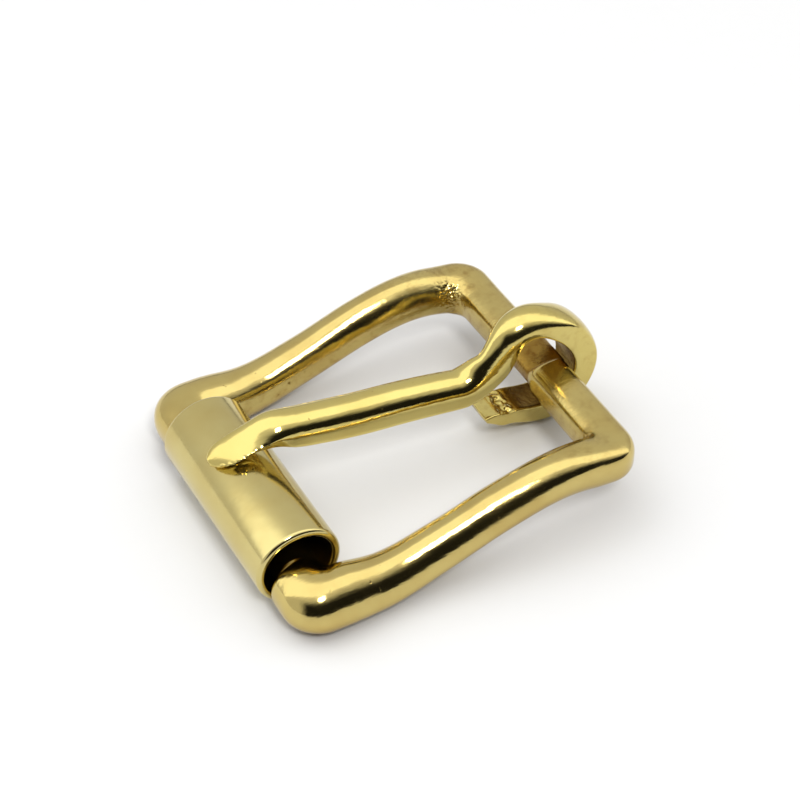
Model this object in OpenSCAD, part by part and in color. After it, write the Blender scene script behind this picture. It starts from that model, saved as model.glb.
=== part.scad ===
// A solid brass roller buckle for a narrow strap: a cast frame, a tube that turns on its front bar,
// and a tongue whose loop hangs round its heel bar.
// The buckle lies as it would on a table: +X runs from the roller to the heel bar, +Z is up, and the
// origin is under the middle of the whole buckle. It rests on its front corners, its roller and the
// tongue's loop. Lengths are in millimetres.

/* [Strap] */
// Width of the strap that the buckle takes
strap_w = 20; // [16:0.5:26]
// Room that the strap has in the frame, both sides together
strap_play = 0.3; // [0.1:0.1:1]

/* [Frame] */
// Distance from the front bar's axis to the heel bar's axis
reach = 26.8; // [23:0.5:34]
// Thickness of a side bar in its middle
bar_t = 3.75; // [3:0.05:4.8]
// Thickness of the swollen front corners
corner_t = 4.6; // [3.8:0.1:5.6]
// How far the side bars' crest stands above a straight line from corner to corner
arch_rise = 1.2; // [0.4:0.1:2.4]
// Thickness of the heel bar, front to back
heel_t = 3.4; // [2.8:0.1:4.4]
// Height of the heel bar's section
heel_h = 3.4; // [2.8:0.1:4.4]
// Radius of the heel corners, outside
heel_corner_r = 2.6; // [1.4:0.1:3.6]
// Radius of the front corners, outside
front_corner_r = 3.1; // [2:0.1:4]
// Radius of the fillets inside the heel corners
fillet_r = 0.9; // [0.4:0.1:1.6]
// Radius of the fillets inside the front corners
front_fillet_r = 0.5; // [0.3:0.1:1]

/* [Tongue's seat on the heel bar] */
// Thickness of the heel bar's narrow seat
seat_t = 2.9; // [2.2:0.1:3.2]
// Width across the flats that the seat is dressed to
seat_flat = 2.6; // [2:0.1:2.9]
// Gap between the loop and the heel bar's shoulder on the side it has slid to
seat_gap = 0.3; // [0.1:0.05:0.6]

/* [Roller] */
// Outer diameter of the roller
roller_d = 7.2; // [6:0.1:8]
// Wall of the roller's tube
roller_wall = 0.5; // [0.35:0.01:0.8]
// Diameter of the front bar inside the roller
front_bar_d = 3.6; // [2.8:0.1:4.2]
// Gap between the roller and the front bar where the bar lies in it
roller_play = 0.03; // [0.02:0.01:0.1]
// Room that the roller has along the front bar
roller_end_play = 1.2; // [0.4:0.1:2]
// Gap at the end that the roller has slid to
roller_gap = 0.15; // [0.05:0.05:0.2]

/* [Tongue] */
// Width of the tongue's metal
tongue_w = 3.1; // [2.4:0.1:3.8]
// Thickness of the tongue's metal at its edges
tongue_t = 1.6; // [1.2:0.05:2]
// How far the tongue's rounded back stands above its edges
tongue_dome = 0.5; // [0.2:0.05:0.8]
// Radius of the loop's opening
loop_r = 3.8; // [3.5:0.1:4.4]
// How far the loop's middle lies in front of the heel bar's axis
loop_pull = 1.05; // [0.6:0.05:1.3]
// How far the loop's middle lies above the heel bar's axis
loop_lift = 0.8; // [0.4:0.05:1]
// Side of the buckle's middle that the loop has slid to
loop_side = 0.35; // [0:0.05:0.5]
// How far the tip reaches past the roller's axis
tip_reach = 2.6; // [1:0.1:4]
// Length of the straight tip behind the point where it meets the roller
tip_len = 3.8; // [2:0.1:5]
// Slope of the tip where it lies on the roller, in degrees
tip_slope = 12.4; // [4:0.1:20]
// Gap between the tip and the roller
tip_gap = 0.05; // [0.02:0.01:0.2]
// How far the tip stands off the buckle's middle, to the far side
tip_shift = 0.8; // [0:0.1:1.5]

/* [Hidden] */

// Fineness of the swept bars and of the exact round parts
bar_sides = 24;
side_rings = 16;
corner_rings = 7;
back_steps = 8;
round_fn = 96;
// How square the sections are: 2 is an ellipse
heel_power = 3.4;
heel_corner_power = 2.8;
bar_power = 2.2;
// How far the front corners stand out past half their thickness
front_nose = 0.5;
// Broken edge along the tongue's flat underside
edge_break = 0.15;
sliver = 0.001;
over = 0.5;

// Half the opening's width
half_in = (strap_w + strap_play)/2;

// The front corners lie on the table, or are lifted by the bar in its roller
front_z = max(corner_t/2, roller_wall + roller_play + front_bar_d/2);
roller_z = roller_d/2;
roller_in_d = roller_d - 2*roller_wall;

// The tongue's underside is a line in the plane of its loop. LOOP gives it from the neck, up the arm,
// over and round to the sheared end, as shares of loop_r from the loop's middle: x, z,
// then thickness as a share of tongue_t, and the near and far edges as shares of half tongue_w
LOOP = [
    [-1.67, -0.09, 1.15, 0.88, 0.90],
    [-1.43, -0.06, 1.12, 0.92, 0.90],
    [-1.24,  0.05, 1.05, 0.96, 0.88],
    [-1.08,  0.14, 1.02, 0.98, 0.62],
    [-0.94,  0.24, 1.02, 1.00, 0.40],
    [-0.78,  0.40, 1.02, 1.00, 0.42],
    [-0.63,  0.62, 1.00, 1.00, 0.60],
    [-0.53,  0.86, 0.85, 1.00, 0.75],
    [-0.42,  1.08, 0.65, 1.00, 0.88],
    [-0.21,  1.17, 0.60, 1.00, 0.95],
    [ 0.02,  1.14, 0.68, 1.00, 0.98],
    [ 0.28,  1.03, 0.85, 1.00, 1.04],
    [ 0.54,  0.83, 1.05, 1.00, 1.10],
    [ 0.78,  0.55, 1.12, 1.00, 1.10],
    [ 0.95,  0.23, 1.03, 1.00, 1.05],
    [ 1.02, -0.08, 0.92, 1.00, 1.00],
    [ 0.98, -0.36, 0.95, 1.00, 1.00],
    [ 0.84, -0.64, 1.00, 1.00, 1.00],
    [ 0.58, -0.87, 1.00, 1.00, 1.00],
    [ 0.28, -0.95, 1.00, 1.00, 1.00],
    [-0.02, -0.90, 0.95, 1.00, 1.00],
    [-0.36, -0.80, 0.90, 1.00, 1.00],
    [-0.70, -0.68, 0.75, 1.00, 1.00],
    [-1.04, -0.62, 0.55, 1.00, 1.00],
    [-1.33, -0.66, 0.15, 1.00, 0.95]];

// The loop rests on the table, round the heel bar's seat
loop_x = reach - loop_pull;
loop_z = tongue_t + tongue_dome - loop_r*min([for (r = LOOP) r[1]]);
heel_z = loop_z - loop_lift;
seat_w = tongue_w + 2*(loop_side + seat_gap);

// The whole buckle, front to back, to put its middle over the origin
front_x = -max(roller_d/2, tip_reach);
back_x = loop_x + max([for (r = LOOP) r[0]*loop_r + r[2]*tongue_t]) + tongue_dome;
mid_x = (front_x + back_x)/2;

// Side bars, from the front bar (0) to the heel bar (1): share of reach, rise as a share of arch_rise,
// thickness as a share of bar_t, then swelling inward and outward as shares of corner_t - bar_t
SIDE = [
    [0.00,  0.00, 1.20, 0.90,  0.45],
    [0.10, -0.25, 1.17, 0.60,  0.42],
    [0.20, -0.60, 1.07, 0.20,  0.22],
    [0.40, -0.10, 1.00, 0.00, -0.05],
    [0.60,  0.75, 0.98, 0.00, -0.12],
    [0.80,  1.00, 0.97, 0.05, -0.15],
    [1.00,  0.00, 0.97, 0.10, -0.15]];

function lerp(a, b, t) = a + (b - a)*t;
function clamp(v, lo, hi) = min(max(v, lo), hi);

// A smooth curve through one column of a table, against its first column
function span(table, v, i = 0) = i >= len(table) - 2 || v < table[i + 1][0] ? i : span(table, v, i + 1);
function slope(table, c, i) = let (a = max(i - 1, 0), b = min(i + 1, len(table) - 1))
    (table[b][c] - table[a][c])/(table[b][0] - table[a][0]);
function curve(table, c, v) = let (
    i = span(table, v),
    w = table[i + 1][0] - table[i][0],
    t = clamp((v - table[i][0])/w, 0, 1),
    p = table[i][c], q = table[i + 1][c],
    m = slope(table, c, i)*w, n = slope(table, c, i + 1)*w)
    (2*t*t*t - 3*t*t + 1)*p + (t*t*t - 2*t*t + t)*m + (3*t*t - 2*t*t*t)*q + (t*t*t - t*t)*n;

// A closed rounded section: half sizes a and b, power 2 for an ellipse and more for a squarer shape
function signed_power(v, e) = sign(v)*pow(abs(v), e);
function section(a, b, power, sides) = [for (i = [0 : sides - 1]) let (t = 360*i/sides)
    [a*signed_power(cos(t), 2/power), b*signed_power(sin(t), 2/power)]];

// A closed skin through rings of points, each with the same count
module skin(rings) {
    n = len(rings[0]);
    m = len(rings);
    polyhedron(
        points = [for (r = rings) each r],
        faces = concat(
            [[for (j = [n - 1 : -1 : 0]) j]],
            [for (i = [0 : m - 2], j = [0 : n - 1]) [i*n + j, (i + 1)*n + (j + 1)%n, (i + 1)*n + j]],
            [for (i = [0 : m - 2], j = [0 : n - 1]) [i*n + j, i*n + (j + 1)%n, (i + 1)*n + (j + 1)%n]],
            [[for (j = [0 : n - 1]) (m - 1)*n + j]]));
}

// FRAME
function bar_height(s) = lerp(front_z, heel_z, s) + arch_rise*curve(SIDE, 1, s);
function bar_thick(s) = bar_t*curve(SIDE, 2, s);
function bar_inside(s) = half_in - (corner_t - bar_t)*curve(SIDE, 3, s);
function bar_outside(s) = half_in + bar_t + (corner_t - bar_t)*curve(SIDE, 4, s);

// How far the outer outline lies from a fillet's centre, along a ray at angle a between two outer
// sides at distances dx and dy, joined by an arc of radius r
function corner_span(dx, dy, r, a) = let (
    c = max(abs(cos(a)), sliver), s = max(abs(sin(a)), sliver),
    flat = min(dx/c, dy/s),
    mx = dx - r, my = dy - r,
    p = mx*c + my*s,
    round = p + sqrt(max(r*r - mx*mx - my*my + p*p, 0)))
    flat*c > mx && flat*s > my ? round : flat;

// One ring of the frame's bar: foot on the inner outline, outward angle, width, height, level, power
function bar_ring(foot, a, w, h, z, power) = [for (q = section(w/2, h/2, power, bar_sides))
    [foot[0] + (w/2 + q[0])*cos(a) - mid_x, foot[1] + (w/2 + q[0])*sin(a), z + q[1]]];

// Centres of the inner fillets, in plan
heel_centre = [reach - heel_t/2 - fillet_r, bar_inside(1) - fillet_r];
front_centre = [front_bar_d/2 + front_fillet_r, bar_inside(0.1) - front_fillet_r];
roller_len = 2*front_centre[1] - roller_end_play;
roller_slide = roller_end_play/2 - roller_gap;

module half_frame() {
    heel_run = [for (t = [0 : 0.5 : 0.99])
        bar_ring([reach - heel_t/2, lerp(seat_w/2, heel_centre[1], t)], 0, heel_t, heel_h, heel_z, heel_power)];
    heel_corner = [for (i = [0 : corner_rings]) let (
        a = 90*i/corner_rings,
        d = corner_span(heel_t + fillet_r, bar_outside(1) - heel_centre[1], heel_corner_r, a),
        x = clamp((heel_centre[0] + (d + fillet_r)/2*cos(a))/reach, 0, 1),
        h = lerp(heel_h, bar_thick(x), i/corner_rings),
        p = lerp(heel_corner_power, bar_power, i/corner_rings))
        bar_ring(heel_centre + fillet_r*[cos(a), sin(a)], a, d - fillet_r, h, bar_height(x), p)];
    side_run = [for (i = [1 : side_rings]) let (
        x = lerp(heel_centre[0], front_centre[0], i/(side_rings + 1))/reach)
        bar_ring([x*reach, bar_inside(x)], 90, bar_outside(x) - bar_inside(x), bar_thick(x), bar_height(x),
            bar_power)];
    front_corner = [for (i = [0 : corner_rings]) let (
        a = 90 + 90*i/corner_rings,
        d = corner_span(corner_t/2 + front_nose + front_centre[0], bar_outside(0) - front_centre[1],
            front_corner_r, a),
        x = clamp((front_centre[0] + (d + front_fillet_r)/2*cos(a))/reach, 0, 1),
        h = lerp(bar_thick(x), corner_t, i/corner_rings))
        bar_ring(front_centre + front_fillet_r*[cos(a), sin(a)], a, d - front_fillet_r, h, bar_height(x),
            bar_power)];
    skin(concat(heel_run, heel_corner, side_run, front_corner));
}

module bar_pin(x, z, d, length) {
    translate([x - mid_x, 0, z]) rotate([90, 0, 0]) cylinder(d = d, h = length, center = true, $fn = round_fn);
}

module frame() {
    color("#b98f45") {
        half_frame();
        mirror([0, 1, 0]) half_frame();
        bar_pin(0, front_z, front_bar_d, 2*(front_centre[1] + over));
        intersection() {
            bar_pin(reach, heel_z, seat_t, seat_w + 2*over);
            translate([reach - mid_x, 0, heel_z]) cube([seat_flat, seat_w + 4*over, seat_flat], center = true);
        }
    }
}

// ROLLER
module roller() {
    color("#d8bd55") translate([-mid_x, 0, roller_z]) rotate([90, 0, 0])
        translate([0, 0, roller_slide]) difference() {
            cylinder(d = roller_d, h = roller_len, center = true, $fn = round_fn);
            cylinder(d = roller_in_d, h = roller_len + 2*over, center = true, $fn = round_fn);
        }
}

// TONGUE
// The shaft, from the end of the tip's straight run (0) to the neck (1): share, sag below a straight
// line as a share of tongue_t, then thickness and both edges as in LOOP
SHAFT = [
    [0.00, 0.08, 0.86, 0.92, 0.92],
    [0.08, 0.24, 1.08, 0.95, 0.93],
    [0.20, 0.21, 1.05, 0.95, 0.93],
    [0.40, 0.20, 1.08, 0.95, 0.93],
    [0.65, 0.05, 0.92, 0.95, 0.92],
    [0.88, 0.00, 0.97, 0.93, 0.90],
    [1.00, 0.00, 1.15, 0.88, 0.90]];

// The tip, from its end (0) to the end of its straight run (1): share, thickness and edges
TIP = [
    [0.00, 0.12, -0.25, 0.45],
    [0.07, 0.45,  0.20, 0.80],
    [0.18, 0.70,  0.62, 0.88],
    [0.32, 0.76,  0.86, 0.90],
    [0.60, 0.76,  0.86, 0.90],
    [0.85, 0.78,  0.88, 0.91],
    [1.00, 0.82,  0.92, 0.92]];

tip_touch = [-(roller_d/2 + tip_gap)*sin(tip_slope), roller_z + (roller_d/2 + tip_gap)*cos(tip_slope)];
tip_end = tip_touch - (tip_reach + tip_touch[0])/cos(tip_slope)*[cos(tip_slope), sin(tip_slope)];
tip_back = tip_touch + tip_len*[cos(tip_slope), sin(tip_slope)];
neck = [loop_x, loop_z] + loop_r*[LOOP[0][0], LOOP[0][1]];

function lean(x) = lerp(tip_shift, -loop_side, clamp(x/neck[0], 0, 1));

// Stations of the whole tongue: x and z of the underside, thickness, near edge, far edge
stations = concat(
    [for (i = [0 : 9]) let (v = i/10, p = lerp(tip_end, tip_back, v))
        [p[0], p[1], curve(TIP, 1, v)*tongue_t, curve(TIP, 2, v), curve(TIP, 3, v)]],
    [for (i = [0 : 13]) let (v = i/14, p = lerp(tip_back, neck, v))
        [p[0], p[1] - curve(SHAFT, 1, v)*tongue_t, curve(SHAFT, 2, v)*tongue_t, curve(SHAFT, 3, v),
            curve(SHAFT, 4, v)]],
    [for (r = LOOP) [loop_x + r[0]*loop_r, loop_z + r[1]*loop_r, r[2]*tongue_t, r[3], r[4]]]);

// One ring of the tongue: flat below with broken edges, straight sides and a rounded back
function tongue_ring(i) = let (
    s = stations[i], a = stations[max(i - 1, 0)], b = stations[min(i + 1, len(stations) - 1)],
    d = [b[0] - a[0], b[1] - a[1]], n = [-d[1], d[0]]/norm(d),
    y0 = lean(s[0]) - s[3]*tongue_w/2, y1 = lean(s[0]) + s[4]*tongue_w/2,
    c = min(edge_break, s[2]/3), dome = min(tongue_dome, s[2]),
    outline = concat([[y0 + c, 0], [y1 - c, 0], [y1, c]],
        [for (k = [0 : back_steps]) let (t = 180*k/back_steps)
            [(y0 + y1)/2 + (y1 - y0)/2*cos(t), s[2] + dome*sin(t)]],
        [[y0, c]]))
    [for (q = outline) [s[0] - mid_x + n[0]*q[1], q[0], s[1] + n[1]*q[1]]];

module tongue() {
    color("#d9bb3a") skin([for (i = [len(stations) - 1 : -1 : 0]) tongue_ring(i)]);
}

frame();
roller();
tongue();
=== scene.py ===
# %% [markdown]
# # A brass roller buckle
# The buckle has three pieces: a cast frame of four bars, a thin tube that turns on the frame's front
# bar, and a tongue whose loop hangs round the heel bar. Their plain solids come from a CAD model. Here
# each gets a finer skin of its own, brass with pits and hairlines, a table to lie on and studio light.

# %% Load the buckle's solids
import math
import bpy
import numpy as np
from mathutils import Matrix, Vector


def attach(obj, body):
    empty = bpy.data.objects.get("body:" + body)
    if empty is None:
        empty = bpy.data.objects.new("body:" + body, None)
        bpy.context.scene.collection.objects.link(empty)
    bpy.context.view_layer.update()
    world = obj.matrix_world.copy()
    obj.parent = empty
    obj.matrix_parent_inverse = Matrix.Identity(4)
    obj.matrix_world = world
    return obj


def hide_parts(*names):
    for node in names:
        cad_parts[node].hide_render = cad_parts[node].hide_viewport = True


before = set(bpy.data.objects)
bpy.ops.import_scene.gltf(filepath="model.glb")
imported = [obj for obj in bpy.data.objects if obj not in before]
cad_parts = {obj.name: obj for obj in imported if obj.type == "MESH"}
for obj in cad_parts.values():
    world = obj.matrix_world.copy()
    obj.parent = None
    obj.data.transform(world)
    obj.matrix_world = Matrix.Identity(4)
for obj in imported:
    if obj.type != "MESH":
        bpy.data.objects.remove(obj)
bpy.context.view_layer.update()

MM = 0.001

# %% [markdown]
# ## The camera
# Product pictures of small metal parts are taken from above with a long lens, because a long lens
# keeps parallel edges nearly parallel. The camera stands 20 cm from the buckle. It is aimed with three
# directions of its own: right, up and back. Those three are the columns of a rotation matrix.

# %% Camera
AIM, AWAY = Vector((3.357, 6.572, 0.0)) * MM, 197.99 * MM
TURN, RISE, ROLL = math.radians(-28.418), math.radians(43.954), math.radians(-0.828)
SENSOR_MM, PICTURE_PIXELS, FOCAL_PIXELS = 36.0, 800, 2345.95
back = Vector((math.sin(TURN) * math.cos(RISE), -math.cos(TURN) * math.cos(RISE), math.sin(RISE)))
level = Vector((math.cos(TURN), math.sin(TURN), 0.0))
upward = back.cross(level)
right = level * math.cos(ROLL) + upward * math.sin(ROLL)
up = upward * math.cos(ROLL) - level * math.sin(ROLL)
eye = AIM + AWAY * back

lens = bpy.data.cameras.new("camera")
lens.sensor_width = SENSOR_MM
lens.lens = FOCAL_PIXELS * SENSOR_MM / PICTURE_PIXELS
lens.clip_start, lens.clip_end = 0.005, 20.0
camera = bpy.data.objects.new("camera", lens)
camera.matrix_world = Matrix.Translation(eye) @ Matrix((right, up, back)).transposed().to_4x4()
bpy.context.scene.collection.objects.link(camera)
bpy.context.scene.camera = camera
bpy.context.scene.view_settings.view_transform = "Standard"
print("lens", round(lens.lens, 1), "mm, camera", tuple(round(v, 4) for v in eye))

# %% [markdown]
# ## Smooth curves through short tables
# A caster's pattern maker draws a bar at a few stations and lets a spline run through them. This helper
# does the same: it takes a table whose first column runs from low to high, and gives any other column
# at any place between, with no corners at the stations.

# %% A curve through a table's columns
def through(table, where):
    """Cubic curve through each column of a table, at the places listed in where."""
    table = np.array(table, float)
    where = np.asarray(where, float)
    knots, values = table[:, 0], table[:, 1:]
    slopes = np.gradient(values, knots, axis=0)
    i = np.clip(np.searchsorted(knots, where, side="right") - 1, 0, len(knots) - 2)
    width = (knots[i + 1] - knots[i])[:, None]
    t = np.clip((where[:, None] - knots[i][:, None]) / width, 0, 1)
    a, b, m, n = values[i], values[i + 1], slopes[i] * width, slopes[i + 1] * width
    return (2*t**3 - 3*t**2 + 1)*a + (t**3 - 2*t**2 + t)*m + (3*t**2 - 2*t**3)*b + (t**3 - t**2)*n


print("a bar that swells from 0 to 1 and back, half way up:", through([[0, 0], [1, 1], [2, 0]], [0.5])[0])

# %% [markdown]
# Two more helpers do small jobs many times. One averages the rows of a table with their neighbours, as
# a file takes the corners off a bar. The other says how far something has come on its way, from 0 to 1,
# and is used wherever an effect fades in or out along a piece.

# %% Softening and fading
def soften(values, reach, closed=True):
    """Averages each row with its neighbours along the run, so that a bar swells and turns gently."""
    kernel = np.hanning(2*reach + 3)[1:-1]
    kernel /= kernel.sum()
    mode = "wrap" if closed else "edge"
    padded = np.pad(values, ((reach, reach), (0, 0)), mode=mode)
    return np.stack([np.convolve(padded[:, c], kernel, "valid") for c in range(values.shape[1])], 1)


def part(value, start, end):
    """How far value has come from start to end, never less than 0 or more than 1."""
    return min(max((value - start)/(end - start), 0), 1)


print("a corner of 0, 1, 0 softened:", soften(np.array([[0.0], [1.0], [0.0]]), 1, closed=False)[:, 0])

# %% [markdown]
# Each piece of a buckle is one closed skin, whether it was cast or bent. A skin through rings of points
# is the plainest way to make one: each ring is a section of the bar, and four-sided faces join it to the
# next. Marks are numbers kept at each point, so that a material can tell a worn place from a rough one.

# %% A skin through rings of points
def skin(name, rings, closed, marks=None):
    """A mesh through rings of points, in metres. closed joins the last ring to the first."""
    rings = np.asarray(rings, float)
    count, sides = rings.shape[:2]
    runs = count if closed else count - 1
    faces = []
    for i in range(runs):
        a, b = i*sides, ((i + 1) % count)*sides
        faces += [(a + j, a + (j + 1) % sides, b + (j + 1) % sides, b + j) for j in range(sides)]
    if not closed:
        faces += [tuple(range(sides))[::-1], tuple((count - 1)*sides + j for j in range(sides))]
    mesh = bpy.data.meshes.new(name)
    mesh.from_pydata(rings.reshape(-1, 3).tolist(), [], faces)
    for mark, values in (marks or {}).items():
        layer = mesh.attributes.new(mark, "FLOAT", "POINT")
        layer.data.foreach_set("value", np.asarray(values, np.float32).reshape(-1))
    mesh.validate()
    mesh.shade_smooth()
    piece = bpy.data.objects.new(name, mesh)
    bpy.context.scene.collection.objects.link(piece)
    volume = signed_volume(mesh)
    if volume < 0:
        mesh.flip_normals()
    print(name, len(mesh.vertices), "points,", round(abs(volume)*1e9, 1), "cubic mm")
    return piece


def signed_volume(mesh):
    mesh.calc_loop_triangles()
    points = np.array([v.co[:] for v in mesh.vertices])
    tri = np.array([t.vertices[:] for t in mesh.loop_triangles])
    a, b, c = points[tri[:, 0]], points[tri[:, 1]], points[tri[:, 2]]
    return float(np.einsum("ij,ij->i", a, np.cross(b, c)).sum()/6)


# %% [markdown]
# ## The sizes that the pieces share
# These are the CAD model's own sizes, in millimetres. The front bar, the roller and the loop meet at
# places that follow from them, so each is written once. The roller's wall is drawn thicker than the
# model's 0.5 mm, as its rim looks in the picture, and so the front bar lies a little higher inside it.

# %% Shared sizes
STRAP_HALF = 10.15  # half the clear width between the side bars
REACH = 26.8  # from the roller's axis to the middle of the heel bar
BAR, CORNER, HEEL = 3.75, 4.6, 3.4  # thickness of a side bar, the front corners and the heel bar
ROLLER_R, ROLLER_LEN, ROLLER_SLIDE = 3.6, 17.08, -0.45
ROLLER_WALL, RIM_ROUND = 0.76, 0.34
FRONT_BAR_R, BAR_LIFT = 1.8, 0.36
LOOP_R, TONGUE_W, TONGUE_T = 3.8, 3.1, 1.6
FRONT_Z, HEEL_Z, ROLLER_Z = 2.33, 4.91, 3.6
LOOP_X, LOOP_Z = 25.75, 5.71  # the middle of the loop, which the tongue swings about
MIDDLE = 13.999  # from the roller's axis to the middle of the buckle, where x is 0

# %% [markdown]
# ## The frame
# The real frame is cast in one piece: molten brass fills a mould, and tumbling with small stones rounds
# every edge. Its bars flow into each other, so one closed skin that runs once round the frame is a
# better start than four bars joined at corners. The run begins in the middle of the heel bar, at the
# narrow seat that the tongue hangs on. Each station has a place on the inner outline, a direction that
# points outwards, a width, a height and a squareness. A superellipse gives the section: power 2 is an
# ellipse, and a higher power is a box with rounded corners.

# %% Stations round one half of the frame
SIDE = [  # share of reach, rise, thickness, swelling inward, swelling outward
    [0.00,  0.00, 1.20, 0.90,  0.45],
    [0.10, -0.25, 1.17, 0.60,  0.42],
    [0.20, -0.60, 1.07, 0.20,  0.22],
    [0.40, -0.10, 1.00, 0.00, -0.05],
    [0.60,  0.75, 0.98, 0.00, -0.12],
    [0.80,  1.00, 0.97, 0.05, -0.15],
    [1.00,  0.00, 0.97, 0.10, -0.15]]
ARCH_RISE = 1.2
SWELL = CORNER - BAR


def side_bar(x):
    """Height, thickness, inside and outside of a side bar at x millimetres from the front bar."""
    share = part(x, 0, REACH)
    rise, thick, inward, outward = through(SIDE, [share])[0]
    level_z = FRONT_Z + (HEEL_Z - FRONT_Z)*share + ARCH_RISE*rise
    return level_z, BAR*thick, STRAP_HALF - SWELL*inward, STRAP_HALF + BAR + SWELL*outward


def corner_span(dx, dy, r, turn):
    """Distance along a ray to an outer corner of radius r between sides at dx and dy."""
    c, s = max(abs(math.cos(turn)), 1e-4), max(abs(math.sin(turn)), 1e-4)
    flat = min(dx/c, dy/s)
    mx, my = dx - r, dy - r
    if flat*c > mx and flat*s > my:
        p = mx*c + my*s
        return p + math.sqrt(max(r*r - mx*mx - my*my + p*p, 0))
    return flat


print("a side bar half way along: height, thickness, inside, outside", np.round(side_bar(REACH/2), 2))

# %% [markdown]
# Each side bar has things of its own. A wall leans where it had to slide out of its mould: the inner
# wall of the far bar and the outer wall of the near one, which draw the broad black lines in the
# picture. The far bar also rises a little more. Two short tables along the bar hold them, and a minus
# sign says that it is the outer wall that leans.

# %% Lean and rise of the side bars
FAR_RISE = [[0.0, 0.0], [0.3, 0.0], [0.5, 0.20], [0.7, 0.38], [0.85, 0.15], [0.95, -0.15], [1.0, -0.15]]
NEAR_RISE = [[0.0, 0.0], [1.0, 0.0]]
FAR_DRAFT = [[0.0, 0.3], [0.15, 0.3], [0.36, 0.5], [0.55, 1.0], [0.90, 1.0], [1.0, 1.0]]
NEAR_DRAFT = [[0.0, -0.8], [0.4, -0.9], [0.6, -0.8], [0.75, -0.45], [0.9, 0.0], [1.0, 0.0]]


def own(table, x):
    """A bar's own rise or draft at x millimetres from the front bar."""
    return through(table, [part(x, 0, REACH)])[0, 0]


print("the far bar rises", own(FAR_RISE, 0.7*REACH), "mm more at its crown")

# %% [markdown]
# One half of the frame is a table with a row for each station. It starts at the seat, a narrow waist
# that the loop can turn on, with the heel bar beside it. The bar is boxy, as cast bars are where no
# strap rubs them, and the seat is the squarest part. A row holds a foot's x and y, the outward angle,
# width, height, level, power, cast grain, coarse sand and draft.

# %% Rows of the seat and the heel bar
FAR_SEAT, NEAR_SEAT = 2.4, 1.3
SEAT_FRONT, SEAT_BACK, SEAT_HIGH, SEAT_LIFT = 1.6, 1.95, 1.9, 0.15
SEAT_POWER, HEEL_POWER = 3.6, 3.1
HEEL_FILLET, FRONT_FILLET = 0.9, 0.5
HEEL_CORNER_R, FRONT_CORNER_R = 2.6, 3.1
heel_pivot = (REACH - HEEL/2 - HEEL_FILLET, side_bar(REACH)[2] - HEEL_FILLET)
front_pivot = (FRONT_BAR_R + FRONT_FILLET, side_bar(0.1*REACH)[2] - FRONT_FILLET)


def heel_rows(seat_half, rise):
    """The seat from the middle outwards, then the heel bar as far as its corner."""
    rows = []
    # The seat's grain of 1.0 also brings the brown bare tint and painted shade of the material.
    for y in np.arange(0.0, seat_half - 0.1, 0.08):
        rows.append([REACH - SEAT_FRONT, y, 0.0, SEAT_FRONT + SEAT_BACK, SEAT_HIGH,
                     HEEL_Z + SEAT_LIFT, SEAT_POWER, 1.0, 0.0, 0.0])
    for y in np.arange(seat_half + 0.06, heel_pivot[1], 0.1):
        past = part(y, seat_half, heel_pivot[1])
        rows.append([REACH - HEEL/2, y, 0.0, HEEL, HEEL, HEEL_Z + past*rise, HEEL_POWER, 0.3, 0.0, 0.0])
    return rows


print("seat", round(FAR_SEAT + NEAR_SEAT, 2), "mm along the bar, rows", len(heel_rows(FAR_SEAT, 0)))

# %% [markdown]
# The heel corner turns about a pivot just inside the opening, so its inner edge is a small fillet and
# its outer edge a large round. On the far side the mould left coarse sand here that no stone reached.

# %% Rows of the heel corner
TURNS = 48


def heel_corner_rows(rise_table, draft_table, corner_grain, coarse_sand):
    """The bend from the heel bar into a side bar."""
    rows = []
    outside = side_bar(REACH)[3]
    for i in range(TURNS + 1):
        done = i/TURNS
        turn = math.pi/2*done
        span = corner_span(HEEL + HEEL_FILLET, outside - heel_pivot[1], HEEL_CORNER_R, turn)
        x = heel_pivot[0] + (span + HEEL_FILLET)/2*math.cos(turn)
        level_z, thick = side_bar(x)[:2]
        rows.append([heel_pivot[0] + HEEL_FILLET*math.cos(turn),
                     heel_pivot[1] + HEEL_FILLET*math.sin(turn), turn, span - HEEL_FILLET,
                     HEEL + (thick - HEEL)*done, level_z + own(rise_table, x), HEEL_POWER - 0.2*done,
                     corner_grain, coarse_sand*min(max(2.2*done - 0.3, 0), 1),
                     own(draft_table, x)*max(1.5*done - 0.5, 0)])
    return rows


print("corner rows", TURNS + 1, "about", np.round(heel_pivot, 2))

# %% [markdown]
# A side bar follows its tables from the heel to the front. It is boxy near the heel and almost round
# towards the front, where hands and straps have the most to rub on.

# %% Rows of a side bar
ROUND_POWER, SHARPER, SHARP_FROM = 2.2, 0.7, 16
SAND_FADE = 1.2


def side_rows(rise_table, draft_table, corner_grain, coarse_sand):
    """The arched bar between the heel corner and the front corner."""
    rows = []
    for x in np.arange(heel_pivot[0] - 0.15, front_pivot[0], -0.15):
        level_z, thick, inside, outside = side_bar(x)
        sharp = part(x, SHARP_FROM, heel_pivot[0])
        sand_left = min(max(1.0 - (heel_pivot[0] - x)/SAND_FADE, 0), 1)
        rows.append([x, inside, math.pi/2, outside - inside, thick, level_z + own(rise_table, x),
                     ROUND_POWER + SHARPER*sharp**3, corner_grain*sharp, coarse_sand*sand_left,
                     own(draft_table, x)])
    return rows


print("side bar", round(heel_pivot[0] - front_pivot[0], 1), "mm between its corners")

# %% [markdown]
# The front corner is the buckle's thick nose. It turns into the round front bar, which the roller hides.

# %% Rows of the front corner and the front bar
NOSE_AHEAD = 0.5


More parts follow.
